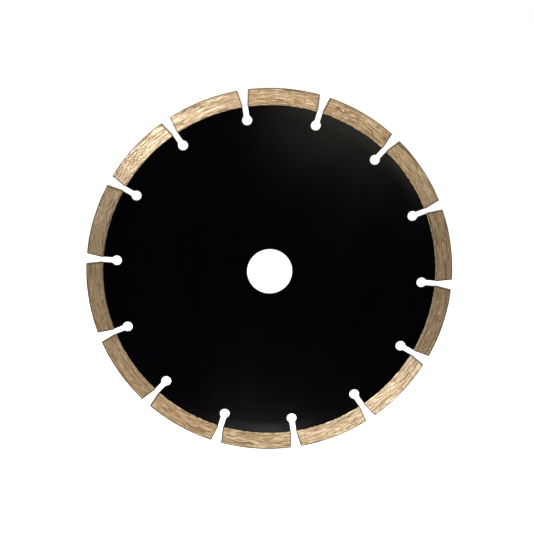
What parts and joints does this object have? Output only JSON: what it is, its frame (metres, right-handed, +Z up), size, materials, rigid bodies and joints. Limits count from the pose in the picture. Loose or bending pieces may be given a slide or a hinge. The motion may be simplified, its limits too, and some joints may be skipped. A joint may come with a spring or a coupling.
{
  "type": "segmented diamond blade",
  "caption": "Flat round saw blade with a plain central bore: a thin painted steel disc with keyhole slots and thicker bronze-coloured abrasive segments brazed round its rim.",
  "frame": {"origin": "centre of the arbor bore, half-way through the steel core", "axes": "+Y along the spin axis, away from the front face; +Z up through the middle of diamond_segment_01; +X to the right as seen from the front"},
  "size_m": [0.18, 0.0024, 0.18],
  "materials": {
    "core_paint": "smooth black enamel, semi-gloss, on hardened steel; bare steel in the bore",
    "diamond_matrix": "sintered bronze matrix with diamond grit, ground along the rim, satin with streaks",
    "segment_foot": "sintered bronze without grit, finer and smoother, satin",
    "silver_solder": "silver solder, rippled, browned by heat"
  },
  "bodies": {
    "root": {"steel_core": "core_paint", "braze_seam_01": "silver_solder", "braze_seam_02": "silver_solder", "braze_seam_03": "silver_solder", "braze_seam_04": "silver_solder", "braze_seam_05": "silver_solder", "braze_seam_06": "silver_solder", "braze_seam_07": "silver_solder", "braze_seam_08": "silver_solder", "braze_seam_09": "silver_solder", "braze_seam_10": "silver_solder", "braze_seam_11": "silver_solder", "braze_seam_12": "silver_solder", "braze_seam_13": "silver_solder", "braze_seam_14": "silver_solder", "segment_foot_01": "segment_foot", "segment_foot_02": "segment_foot", "segment_foot_03": "segment_foot", "segment_foot_04": "segment_foot", "segment_foot_05": "segment_foot", "segment_foot_06": "segment_foot", "segment_foot_07": "segment_foot", "segment_foot_08": "segment_foot", "segment_foot_09": "segment_foot", "segment_foot_10": "segment_foot", "segment_foot_11": "segment_foot", "segment_foot_12": "segment_foot", "segment_foot_13": "segment_foot", "segment_foot_14": "segment_foot", "diamond_segment_01": "diamond_matrix", "diamond_segment_02": "diamond_matrix", "diamond_segment_03": "diamond_matrix", "diamond_segment_04": "diamond_matrix", "diamond_segment_05": "diamond_matrix", "diamond_segment_06": "diamond_matrix", "diamond_segment_07": "diamond_matrix", "diamond_segment_08": "diamond_matrix", "diamond_segment_09": "diamond_matrix", "diamond_segment_10": "diamond_matrix", "diamond_segment_11": "diamond_matrix", "diamond_segment_12": "diamond_matrix", "diamond_segment_13": "diamond_matrix", "diamond_segment_14": "diamond_matrix"}
  },
  "joints": []
}
